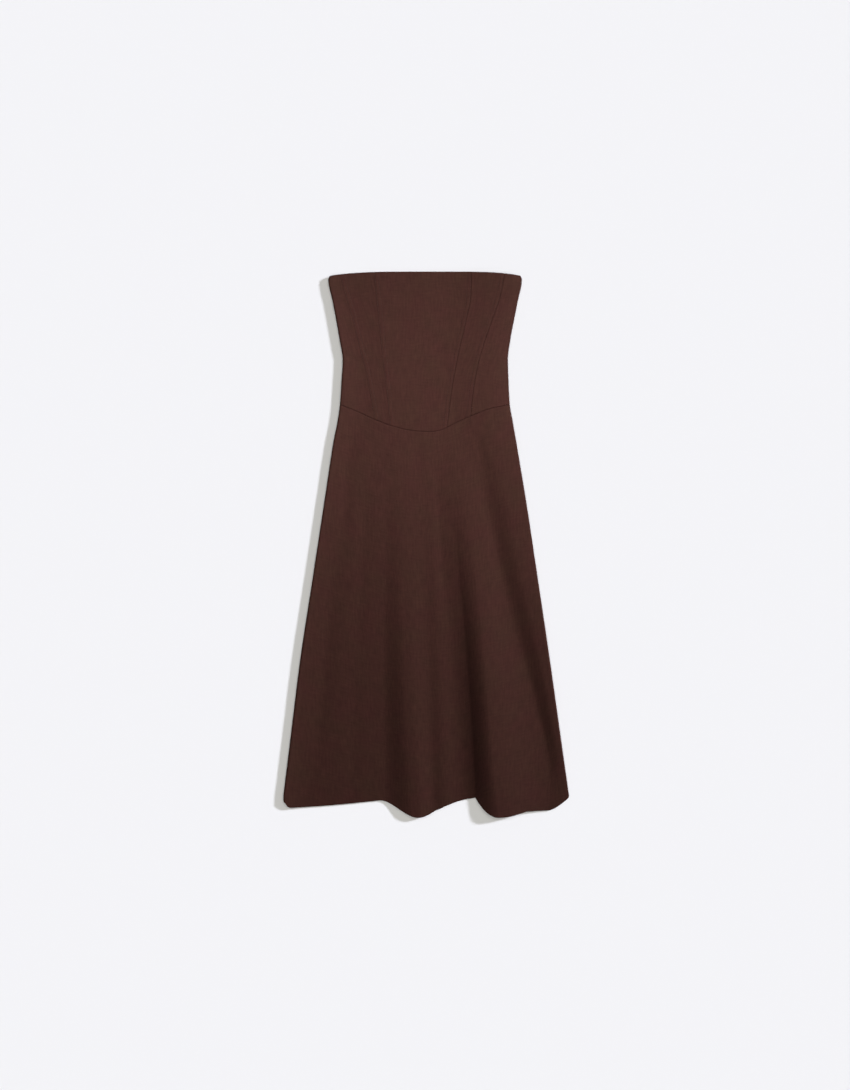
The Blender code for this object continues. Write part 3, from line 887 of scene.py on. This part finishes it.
def skirt_roll(side, side_hem, line, brink, inwards, shares_down):
    """The columns of one turned edge of the skirt, from the side seam inwards."""
    columns = []
    for angle in ROLL_ANGLES:

        def across_at(drop):
            return side(drop) + inwards * abs(line.across(drop) - side(drop)) * (1 - math.cos(angle))

        hem = between(side_hem, line.hem, math.sin(angle))
        drop, across, _, _ = skirt_rows(across_at, hem, shares_down)
        foot = SIDE_SEAM_HEIGHT + SEAM_GAP / 2
        height = between(foot, brink, math.sin(angle))
        columns.append(np.stack((across, drop, height), axis=1))
    return columns


skirt_length = RIGHT_SIDE_HEM - WAIST[0].drop
skirt_shares = np.array(edge_stops(skirt_length, step=SKIRT_ROW_STEP)) / skirt_length
columns = []
for here, after in zip(skirt_lines, skirt_lines[1:]):
    widest = max(abs(after.across(drop) - here.across(drop)) for drop in FOLD_DROPS)
    count = max(4, math.ceil(widest / SKIRT_STEP))
    columns += [skirt_column(here, after, i / count, skirt_shares) for i in range(count)]
columns.append(skirt_column(skirt_lines[-1], skirt_lines[-1], 0.0, skirt_shares))
left_turn = skirt_roll(left_side, LEFT_SIDE_HEM, skirt_lines[0], columns[0][:, 2], 1, skirt_shares)
right_turn = skirt_roll(right_side, RIGHT_SIDE_HEM, skirt_lines[-1], columns[-1][:, 2], -1, skirt_shares)
columns = left_turn + columns + right_turn[::-1]
skirt_points = np.stack(columns, axis=1)
skirt_panel = cloth_shell("skirt_front_panel", skirt_points)
skirt_panel.data.materials.append(bodice_cloth)
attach(skirt_panel, "root")
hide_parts("skirt_front")


# Bodice and skirt backs
# Four plain panels of the same twill, which meet in the centre back seam. They lie flat with
# the right side down, and turn up at the sides to the side seams.
BACK_WAIST_DIP = 0.008
BACK_STEP = 0.005
BACK_HEM = (
    WaistRow(across=-0.2855, drop=1.046),
    WaistRow(across=-0.2810, drop=1.058),
    WaistRow(across=-0.2680, drop=1.066),
    WaistRow(across=-0.0900, drop=1.052),
    WaistRow(across=0.1000, drop=1.046),
    WaistRow(across=0.2600, drop=1.052),
    WaistRow(across=0.2855, drop=1.046),
)
BACK_CREASES = (
    Crease(start=(-0.150, 0.040), end=(-0.070, 0.085), width=0.009, depth=0.0008),
    Crease(start=(0.145, 0.060), end=(0.085, 0.082), width=0.008, depth=0.0007),
    Crease(start=(-0.155, 0.165), end=(-0.060, 0.180), width=0.007, depth=0.0010),
    Crease(start=(-0.150, 0.196), end=(-0.085, 0.202), width=0.006, depth=0.0007),
    Crease(start=(0.150, 0.160), end=(0.045, 0.186), width=0.008, depth=0.0010),
    Crease(start=(0.155, 0.205), end=(0.095, 0.214), width=0.006, depth=0.0008),
    Crease(start=(-0.090, 0.320), end=(-0.120, 0.560), width=0.015, depth=0.0010),
    Crease(start=(-0.150, 0.500), end=(-0.185, 0.820), width=0.018, depth=0.0011),
    Crease(start=(-0.060, 0.700), end=(-0.075, 1.010), width=0.014, depth=0.0009),
    Crease(start=(0.070, 0.330), end=(0.090, 0.520), width=0.013, depth=0.0009),
    Crease(start=(0.120, 0.450), end=(0.165, 0.860), width=0.017, depth=0.0011),
    Crease(start=(0.210, 0.780), end=(0.235, 1.020), width=0.014, depth=0.0008),
)

back_hem = smooth_curve(*columns_of(BACK_HEM))


def back_waist(across):
    return WAIST[0].drop + BACK_WAIST_DIP * (1 - (across / WAIST[0].across) ** 2)


def back_panel(name, side, top, bottom, top_round, bottom_round):
    """A back panel from its side seam to the centre back seam, flat but for its turned edge."""
    inwards = 1 if side is left_side else -1
    seam_x = -inwards * SEAM_GAP / 2
    side_top = where_they_cross(side, top, 0.0)
    side_low = where_they_cross(side, bottom, WAIST[0].drop)
    length = side_low - side_top
    width = abs(side(side_low)) - ROLL_WIDTH
    shares_down = np.array(edge_stops(length, step=BACK_STEP)) / length
    flat_shares = np.array(edge_stops(width, step=BACK_STEP)) / width
    share = np.concatenate((np.zeros(len(ROLL_ANGLES)), flat_shares))
    roll = ROLL_WIDTH * (1 - np.cos(ROLL_ANGLES))
    inset = np.concatenate((roll, np.full(len(flat_shares), ROLL_WIDTH)))
    foot = SIDE_SEAM_HEIGHT - SEAM_GAP / 2
    turn = np.concatenate((foot * (1 - np.sin(ROLL_ANGLES)), np.zeros(len(flat_shares))))

    def place(edge):
        return between(edge, seam_x, share) + inwards * inset * (1 - share)

    upper = top(place(side(side_top))) + SEAM_GAP / 2
    lower = bottom(place(side(side_low))) - SEAM_GAP / 2
    drop = between(upper[None, :], lower[None, :], shares_down[:, None])
    across = place(side(between(side_top, side_low, shares_down))[:, None])
    edges = rounding(drop - upper[None, :], top_round) + rounding(lower[None, :] - drop, bottom_round)
    edges = edges + rounding(np.abs(across - seam_x), SEAM_ROUND)
    height = turn + (edges - crease_rise(BACK_CREASES, across, drop)) * (inset >= ROLL_WIDTH)
    points = np.stack((across, drop, height), axis=2)
    panel = cloth_shell(name, points if side is left_side else points[:, ::-1], facing_down=True)
    return panel


for hand, side in (("left", left_side), ("right", right_side)):
    bodice_back = back_panel(
        f"bodice_back_panel_{hand}", side, neckline, back_waist, NECK_ROUND, SEAM_ROUND
    )
    skirt_back = back_panel(
        f"skirt_back_panel_{hand}", side, back_waist, back_hem, SEAM_ROUND, HEM_ROUND
    )
    for panel, node in ((bodice_back, f"bodice_back_{hand}"), (skirt_back, f"skirt_back_{hand}")):
        panel.data.materials.append(bodice_cloth)
        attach(panel, "root")
        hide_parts(node)


# Zip
# A concealed zip, sewn to the centre back seam inside the dress and closed to the top: two
# woven tapes, and between them two rows of coiled nylon teeth.
ZIP_TOP = 0.024
ZIP_END = 0.470
ZIP_HALF_WIDTH = 0.012
TAPE_BOTTOM = 0.0015
TAPE_THICKNESS = 0.0006
TAPE_GAP = 0.0003
TAPE_EDGE_STOPS = (0.0, 0.0003, 0.0008)
TAPE_STEP_ACROSS = 0.002
TAPE_STEP_DOWN = 0.006
TAPE_RIPPLE = 0.00004
RIPPLES_DOWN = 300
WEAVE_SCALE = 420.0
COIL_WIRE = 0.00020
COIL_PITCH = 0.0016
COIL_REACH = 0.0021
COIL_RISE = 0.00016
COIL_HEIGHT = 0.00235
COIL_SIDES = 8
TAPE_BROWN = (0.040, 0.017, 0.0135, 1.0)
TAPE_LIGHT = (0.056, 0.0245, 0.0195, 1.0)
NYLON_DARK = (0.034, 0.0145, 0.0115, 1.0)
NYLON_PALE = (0.052, 0.023, 0.018, 1.0)


def woven_tape(name):
    """Dark brown polyester tape with a fine herringbone weave."""
    graph = Graph(name)
    uv = graph.node("ShaderNodeUVMap", {"uv_map": "UVMap"})
    weave = graph.node(
        "ShaderNodeTexWave",
        {"wave_type": "BANDS", "bands_direction": "DIAGONAL", "wave_profile": "TRI"},
        {"Vector": uv, "Scale": WEAVE_SCALE, "Distortion": 0.4},
        output="Fac",
    )
    bump = graph.node(
        "ShaderNodeBump", {}, {"Height": weave, "Strength": 0.4, "Distance": 0.0001}, output="Normal"
    )
    graph.set(graph.shader, "Base Color", graph.mix(weave, TAPE_BROWN, TAPE_LIGHT))
    graph.set(graph.shader, "Normal", bump)
    graph.set(graph.shader, "Roughness", 0.8)
    graph.set(graph.shader, "Specular IOR Level", 0.2)
    return graph.material


def zip_tape(hand, inwards):
    """One tape, from its inner edge at the teeth out to its woven edge."""
    width = ZIP_HALF_WIDTH - TAPE_GAP
    widths = np.array(edge_stops(width, TAPE_EDGE_STOPS, TAPE_STEP_ACROSS)) + TAPE_GAP
    drops = np.array(edge_stops(ZIP_END - ZIP_TOP, TAPE_EDGE_STOPS, TAPE_STEP_DOWN)) + ZIP_TOP
    across, drop = np.meshgrid(np.sort(inwards * widths), drops)
    ripple = TAPE_RIPPLE * np.sin(drop * RIPPLES_DOWN) * np.abs(across) / ZIP_HALF_WIDTH
    points = np.stack((across, drop, TAPE_BOTTOM + TAPE_THICKNESS + ripple), axis=2)
    tape = cloth_shell(f"zip_tape_{hand}", points, TAPE_THICKNESS)
    return tape


def zip_coil(hand, inwards):
    """A row of teeth: a flattened coil of nylon wire, sewn along the edge of its tape."""
    turns = round((ZIP_END - ZIP_TOP - 2 * COIL_PITCH) / COIL_PITCH)
    steps = np.arange(turns * COIL_SIDES + 1) / COIL_SIDES
    wire = bpy.data.curves.new(f"zip_coil_{hand}", "CURVE")
    wire.dimensions = "3D"
    wire.bevel_depth = COIL_WIRE
    wire.bevel_resolution = 1
    wire.use_fill_caps = True
    spline = wire.splines.new("POLY")
    spline.points.add(len(steps) - 1)
    for spot, step in zip(spline.points, steps):
        turn = 2 * math.pi * step
        x = inwards * COIL_REACH / 2 * (1 - math.cos(turn)) - inwards * COIL_WIRE
        y = LENGTH / 2 - ZIP_TOP - COIL_PITCH * (1 + step)
        spot.co = (x, y, COIL_HEIGHT + COIL_RISE * math.sin(turn), 1)
    coil = bpy.data.objects.new(f"zip_coil_{hand}", wire)
    bpy.context.scene.collection.objects.link(coil)
    bpy.ops.object.select_all(action="DESELECT")
    coil.select_set(True)
    bpy.context.view_layer.objects.active = coil
    bpy.ops.object.convert(target="MESH")
    coil = bpy.context.object
    bpy.ops.object.shade_smooth()
    return coil


def nylon_finish(name):
    """Dyed nylon: brown, smooth and slightly glossy, a little uneven in its tone."""
    graph = Graph(name)
    place = graph.node("ShaderNodeTexCoord", output="Object")
    uneven = graph.node("ShaderNodeTexNoise", {}, {"Vector": place, "Scale": 900.0, "Detail": 1.0})
    graph.set(graph.shader, "Base Color", graph.mix(uneven, NYLON_DARK, NYLON_PALE))
    graph.set(graph.shader, "Roughness", 0.3 + uneven * 0.15)
    return graph.material


tape_cloth = woven_tape("zip tape")
coil_nylon = nylon_finish("zip coil nylon")
for hand, inwards in (("left", -1), ("right", 1)):
    tape = zip_tape(hand, inwards)
    coil = zip_coil(hand, inwards)
    for piece, finish in ((tape, tape_cloth), (coil, coil_nylon)):
        piece.data.materials.append(finish)
        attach(piece, "root")
        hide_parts("zip_tape")


# Zip slider
# The slider of the concealed zip at the neckline: a flat cast body with a waist at each side,
# a bridge on top and a slim pull that lies up towards the neckline, all painted brown.
SLIDER_TOP = 0.0150
SLIDER_END = 0.0232
SLIDER_HALF_WIDTH = 0.0029
SLIDER_BOTTOM = 0.0015
SLIDER_THICKNESS = 0.0008
SLIDER_WAIST = 0.72
WAIST_CURVE = 1.5
BRIDGE_SIZE = (0.0016, 0.0050, 0.0004)
PULL_SIZE = (0.0030, 0.0066, 0.00045)
PULL_HOLE = 0.0007
HOLE_CUTTER_LENGTH = 0.010
PAINT_EDGE = 0.00012
CAST_EDGE = math.radians(35)
PAINT_DARK = (0.040, 0.018, 0.014, 1.0)
PAINT_WORN = (0.066, 0.032, 0.025, 1.0)


def block(name, size, place):
    bpy.ops.object.select_all(action="DESELECT")
    bpy.ops.mesh.primitive_cube_add(size=1, location=place)
    piece = bpy.context.object
    piece.name = name
    piece.data.name = name
    piece.scale = size
    bpy.ops.object.transform_apply(location=True, rotation=False, scale=True)
    return piece


def painted_edges(piece, levels=3):
    """Rounds the edges of a cast piece as its paint does."""
    bpy.ops.object.select_all(action="DESELECT")
    piece.select_set(True)
    bpy.context.view_layer.objects.active = piece
    bevel = piece.modifiers.new("edges", "BEVEL")
    bevel.width = PAINT_EDGE
    bevel.segments = levels
    bevel.limit_method = "ANGLE"
    bpy.ops.object.modifier_apply(modifier=bevel.name)
    bpy.ops.object.shade_smooth_by_angle(angle=CAST_EDGE)


def painted_metal(name):
    """Brown paint on cast metal, a little worn to a lighter tone in small patches."""
    graph = Graph(name)
    place = graph.node("ShaderNodeTexCoord", output="Object")
    wear = graph.node("ShaderNodeTexNoise", {}, {"Vector": place, "Scale": 1400.0, "Detail": 3.0})
    graph.set(graph.shader, "Base Color", graph.mix(wear, PAINT_DARK, PAINT_WORN))
    graph.set(graph.shader, "Roughness", 0.28 + wear * 0.2)
    graph.set(graph.shader, "Metallic", 0.4)
    return graph.material


slider_middle = (SLIDER_TOP + SLIDER_END) / 2
slider_length = SLIDER_END - SLIDER_TOP
body = block(
    "slider_body",
    (2 * SLIDER_HALF_WIDTH, slider_length, SLIDER_THICKNESS),
    (0, LENGTH / 2 - slider_middle, SLIDER_BOTTOM + SLIDER_THICKNESS / 2),
)
bpy.ops.object.mode_set(mode="EDIT")
bpy.ops.mesh.select_all(action="SELECT")
bpy.ops.mesh.subdivide(number_cuts=4)
bpy.ops.object.mode_set(mode="OBJECT")
for vertex in body.data.vertices:
    along = (vertex.co.y - LENGTH / 2 + slider_middle) / (slider_length / 2)
    vertex.co.x *= between(SLIDER_WAIST, 1.0, abs(along) ** WAIST_CURVE)
painted_edges(body)
bridge_top = SLIDER_BOTTOM + SLIDER_THICKNESS + BRIDGE_SIZE[2]
bridge = block(
    "slider_bridge",
    BRIDGE_SIZE,
    (0, LENGTH / 2 - slider_middle, bridge_top - BRIDGE_SIZE[2] / 2),
)
painted_edges(bridge, levels=2)

pull_middle = LENGTH / 2 - SLIDER_TOP + PULL_SIZE[1] / 2
pull_reach = PULL_SIZE[1] / 2 - PULL_SIZE[0] / 2
bpy.ops.object.select_all(action="DESELECT")
bpy.ops.mesh.primitive_cylinder_add(
    vertices=32,
    radius=PULL_SIZE[0] / 2,
    depth=PULL_SIZE[2],
    location=(0, pull_middle, SLIDER_BOTTOM + PULL_SIZE[2] / 2),
)
pull = bpy.context.object
pull.name = "slider_pull"
bpy.ops.object.transform_apply(location=True, rotation=False, scale=False)
for vertex in pull.data.vertices:
    vertex.co.y += math.copysign(pull_reach, vertex.co.y - pull_middle)
bpy.ops.mesh.primitive_cylinder_add(
    vertices=24,
    radius=PULL_HOLE,
    depth=HOLE_CUTTER_LENGTH,
    location=(0, pull_middle + pull_reach, SLIDER_BOTTOM),
)
hole_cutter = bpy.context.object
cut = pull.modifiers.new("hole", "BOOLEAN")
cut.object = hole_cutter
bpy.context.view_layer.objects.active = pull
bpy.ops.object.modifier_apply(modifier=cut.name)
bpy.data.objects.remove(hole_cutter)
painted_edges(pull, levels=2)
zip_slider = joined("zip_slider_and_pull", [body, bridge, pull])
zip_slider.data.materials.append(painted_metal("painted slider"))
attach(zip_slider, "root")
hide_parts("zip_slider")


# Floor and light
# A seamless pale surface under soft studio light. One lamp, low on the right, throws the short
# soft shadow. The cloth has lamps of its own: a soft one above the bodice, and two on the right.
FLOOR_SIZE = 60.0
FLOOR_SINK = 0.0002
FLOOR_COLOUR = (0.80, 0.80, 0.81, 1.0)
BACKDROP_RADIUS = 25.0
BACKDROP_HEIGHT = 30.0
BACKDROP_GLOW = 0.90
WORLD_STRENGTH = 0.10
LOW_ELEVATION = math.radians(24)
CLOTH_LOW_ELEVATION = math.radians(18)
LOW_AZIMUTH = math.radians(21)
SHADOW_STRENGTH = 4.10
SHADOW_COLOUR = (0.875, 0.89, 1.0)
SHADOW_ANGLE = math.radians(6)
FLOOR_FILL_STRENGTH = 1.79
FLOOR_FILL_COLOUR = (1.0, 0.985, 0.92)
FLOOR_FILL_ANGLE = math.radians(60)
CLOTH_LOW_STRENGTH = 2.20
CLOTH_LOW_ANGLE = math.radians(24)
CLOTH_SIDE_STRENGTH = 0.75
CLOTH_SIDE_ANGLE = math.radians(25)
SIDE_ELEVATION = math.radians(50)
SIDE_AZIMUTH = math.radians(10)
TOP_POWER = 1.76
TOP_PLACE = (0.04, 0.35, 0.53)
TOP_SIZE = 0.35

bpy.ops.object.select_all(action="DESELECT")
bpy.ops.mesh.primitive_plane_add(size=FLOOR_SIZE, location=(0, 0, -FLOOR_SINK))
bpy.ops.object.transform_apply(location=True, rotation=False, scale=False)
floor = bpy.context.object
floor.name = "floor"
paper = Graph("pale surface")
paper.set(paper.shader, "Base Color", FLOOR_COLOUR)
paper.set(paper.shader, "Roughness", 0.9)
paper.set(paper.shader, "Specular IOR Level", 0.0)
floor.data.materials.append(paper.material)

bpy.ops.object.select_all(action="DESELECT")
bpy.ops.mesh.primitive_cylinder_add(
    vertices=64, radius=BACKDROP_RADIUS, depth=BACKDROP_HEIGHT, end_fill_type="NOTHING"
)
backdrop = bpy.context.object
backdrop.name = "backdrop"
backdrop.visible_diffuse = False
backdrop.visible_glossy = False
backdrop.visible_shadow = False
pale = Graph("pale backdrop")
pale.set(pale.shader, "Base Color", (0.0, 0.0, 0.0, 1.0))
pale.set(pale.shader, "Specular IOR Level", 0.0)
pale.set(pale.shader, "Emission Color", (1.0, 1.0, 1.0, 1.0))
pale.set(pale.shader, "Emission Strength", BACKDROP_GLOW)
backdrop.data.materials.append(pale.material)
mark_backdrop(floor, backdrop)


def shine_on(lamp, receivers):
    """The lamp lights the receivers alone. All else still throws its shadow."""
    group = bpy.data.collections.new(lamp.name + " lights")
    for receiver in receivers:
        group.objects.link(receiver)
    lamp.light_linking.receiver_collection = group


def sun_lamp(name, elevation, azimuth, strength, angle, receivers, colour=(1.0, 1.0, 1.0)):
    bpy.ops.object.light_add(type="SUN", rotation=(0, math.pi / 2 - elevation, azimuth))
    lamp = bpy.context.object
    lamp.name = name
    lamp.data.energy = strength
    lamp.data.angle = angle
    lamp.data.color = colour
    shine_on(lamp, receivers)


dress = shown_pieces()
sun_lamp(
    "shadow lamp", LOW_ELEVATION, LOW_AZIMUTH, SHADOW_STRENGTH, SHADOW_ANGLE, [floor], SHADOW_COLOUR
)
sun_lamp(
    "floor fill", math.pi / 2, 0.0, FLOOR_FILL_STRENGTH, FLOOR_FILL_ANGLE, [floor], FLOOR_FILL_COLOUR
)
sun_lamp("low lamp", CLOTH_LOW_ELEVATION, LOW_AZIMUTH, CLOTH_LOW_STRENGTH, CLOTH_LOW_ANGLE, dress)
sun_lamp("side lamp", SIDE_ELEVATION, SIDE_AZIMUTH, CLOTH_SIDE_STRENGTH, CLOTH_SIDE_ANGLE, dress)
bpy.ops.object.light_add(type="AREA", location=TOP_PLACE)
top_lamp = bpy.context.object
top_lamp.name = "top lamp"
top_lamp.data.energy = TOP_POWER
top_lamp.data.size = TOP_SIZE
shine_on(top_lamp, dress)

world = bpy.data.worlds.new("studio")
bpy.context.scene.world = world
world.use_nodes = True
world.node_tree.nodes["Background"].inputs["Color"].default_value = (1, 1, 1, 1)
world.node_tree.nodes["Background"].inputs["Strength"].default_value = WORLD_STRENGTH
bpy.context.scene.view_settings.view_transform = "Standard"
